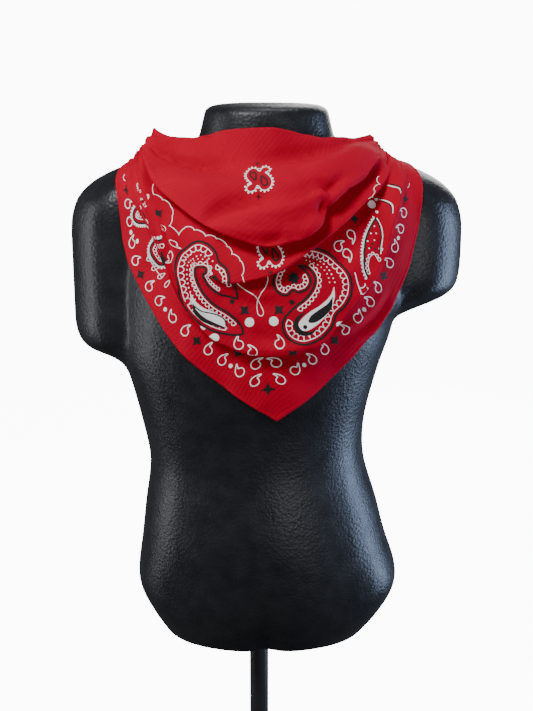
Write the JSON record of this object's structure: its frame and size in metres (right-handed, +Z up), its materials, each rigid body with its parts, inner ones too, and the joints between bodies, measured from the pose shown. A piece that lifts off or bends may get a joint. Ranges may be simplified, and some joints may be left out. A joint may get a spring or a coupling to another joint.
{
  "type": "bandana on torso display form",
  "caption": "Red paisley bandana folded corner to corner and worn as a cowl round the neck of a black torso display form on a pole stand, its ends knotted at the nape.",
  "frame": {"origin": "middle of the round base plate's underside", "axes": "+Z up, -Y towards the front of the form, +X towards the wearer's left"},
  "size_m": [0.3804, 0.2604, 0.797],
  "materials": {
    "red_cotton": "fine knit cotton, matt, with a soft sheen",
    "black_cast": "satin black over a fine cast grain",
    "black_steel": "satin black paint"
  },
  "bodies": {
    "root": {"form_base": "black_steel", "form_pole": "black_steel", "form_collar": "black_steel", "form_torso": "black_cast", "front_drape": "red_cotton", "wrap_right": "red_cotton", "wrap_left": "red_cotton", "knot": "red_cotton", "tail_right": "red_cotton", "tail_left": "red_cotton"}
  },
  "joints": []
}
